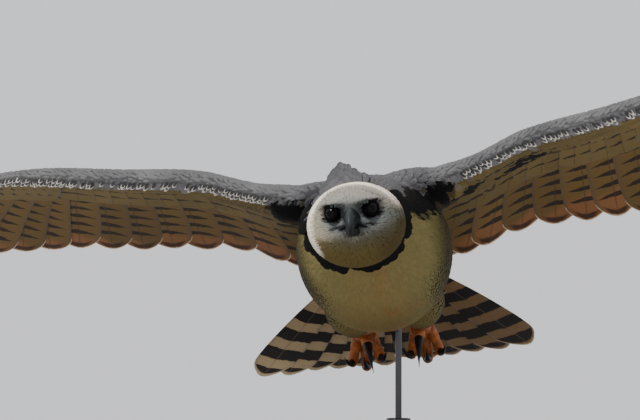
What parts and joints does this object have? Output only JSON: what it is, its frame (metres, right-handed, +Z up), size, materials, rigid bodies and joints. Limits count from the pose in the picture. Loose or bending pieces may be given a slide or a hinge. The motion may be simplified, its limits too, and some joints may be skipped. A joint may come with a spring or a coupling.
{
  "type": "life-size harpy eagle display model",
  "caption": "A still, life-size model of a harpy eagle gliding head-on with its wings and tail spread, held up by a flat round base and a rod.",
  "frame": {"origin": "middle of the underside of the stand's base", "axes": "+Z is up, -Y is the way the bird flies, +X is the bird's left wing"},
  "size_m": [1.9358, 0.9067, 0.6163],
  "materials": {
    "slate_plumage": "matt feathers",
    "pale_plumage": "matt feathers",
    "barred_vanes": "satin feathers",
    "horn": "polished horn",
    "toe_skin": "scaly skin",
    "eye": "glossy",
    "stand_wood": "dark satin",
    "stand_steel": "blackened"
  },
  "bodies": {
    "root": {"bill_lower": "horn", "bill_upper": "horn", "claw_left_hind": "horn", "claw_left_inner": "horn", "claw_left_middle": "horn", "claw_left_outer": "horn", "claw_right_hind": "horn", "claw_right_inner": "horn", "claw_right_middle": "horn", "claw_right_outer": "horn", "eye_left": "eye", "eye_right": "eye", "foot_left": "toe_skin", "foot_right": "toe_skin", "head": "slate_plumage", "neck": "slate_plumage", "stand_base": "stand_wood", "stand_collar": "stand_steel", "stand_rod": "stand_steel", "tail": "barred_vanes", "thigh_left": "pale_plumage", "thigh_right": "pale_plumage", "torso": "pale_plumage", "wing_left_inner": "barred_vanes", "wing_left_outer": "barred_vanes", "wing_right_inner": "barred_vanes", "wing_right_outer": "barred_vanes"}
  },
  "joints": []
}
